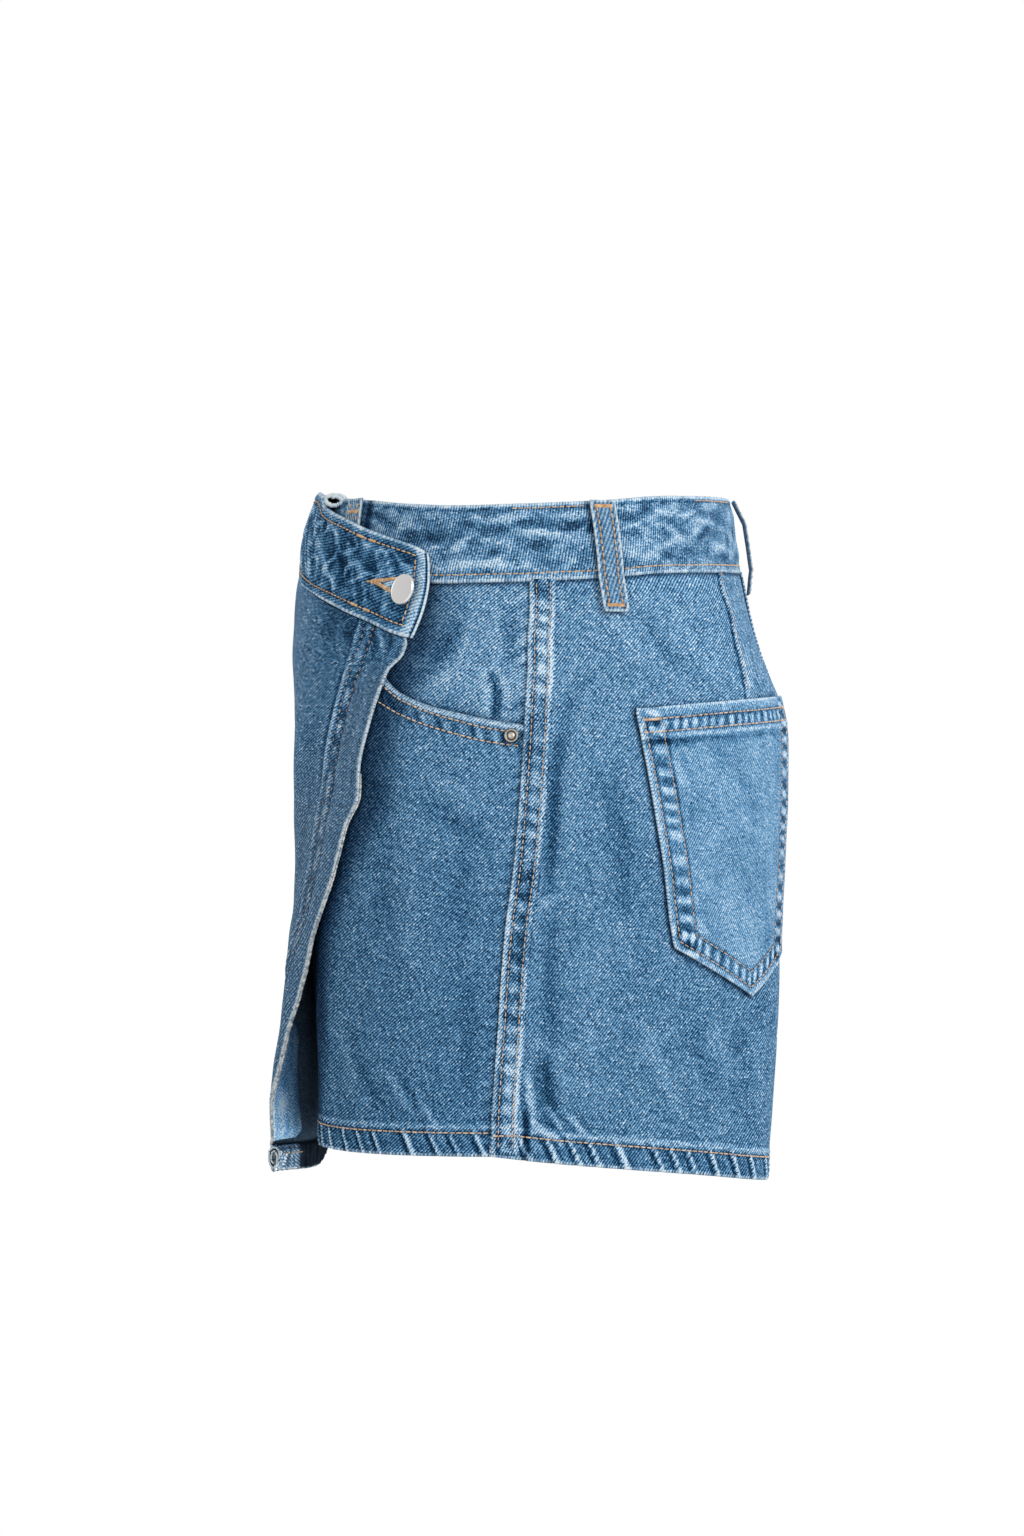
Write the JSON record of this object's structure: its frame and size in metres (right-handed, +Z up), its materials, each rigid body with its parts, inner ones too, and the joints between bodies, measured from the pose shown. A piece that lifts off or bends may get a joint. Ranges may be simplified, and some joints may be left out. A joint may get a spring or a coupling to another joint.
{
  "type": "denim skort",
  "caption": "Washed blue denim shorts with a wrap panel across the front, buttoned at the left hip, filled out as worn.",
  "frame": {"origin": "centre of the waist opening, level with the highest point of the waistband's top edge, where the wearer holds it up", "axes": "+Z up out of the waist, -Y the way the wearer faces, +X towards the wearer's left side"},
  "size_m": [0.3568, 0.2762, 0.3648],
  "materials": {
    "denim": "washed mid-blue right-hand twill, matt, with pale weft flecks",
    "denim_worn": "the same twill where washing has rubbed its ridges and edges nearly white",
    "denim_band": "the same twill with its ribs upright, puckered by the band's stitching",
    "denim_dark": "the same twill, deeper and greyer on the wrap",
    "nickel": "flat satin nickel",
    "nickel_worn": "domed nickel, a little tarnished in its ring"
  },
  "bodies": {
    "root": {"back_left": "denim", "back_right": "denim", "front_left": "denim", "front_right": "denim", "pocket_bearer_left": "denim", "side_seam_left": "denim_worn", "side_seam_right": "denim_worn", "seat_seam": "denim_worn", "back_pocket_left": "denim_worn", "back_pocket_right": "denim_worn", "waistband": "denim_band", "wrap_panel": "denim_dark", "wrap_facing": "denim_worn", "wrap_band": "denim_dark", "belt_loop_side_left": "denim_worn", "belt_loop_side_right": "denim_worn", "belt_loop_front_left": "denim_worn", "belt_loop_back": "denim_worn", "button": "nickel", "pocket_rivet": "nickel_worn"}
  },
  "joints": []
}
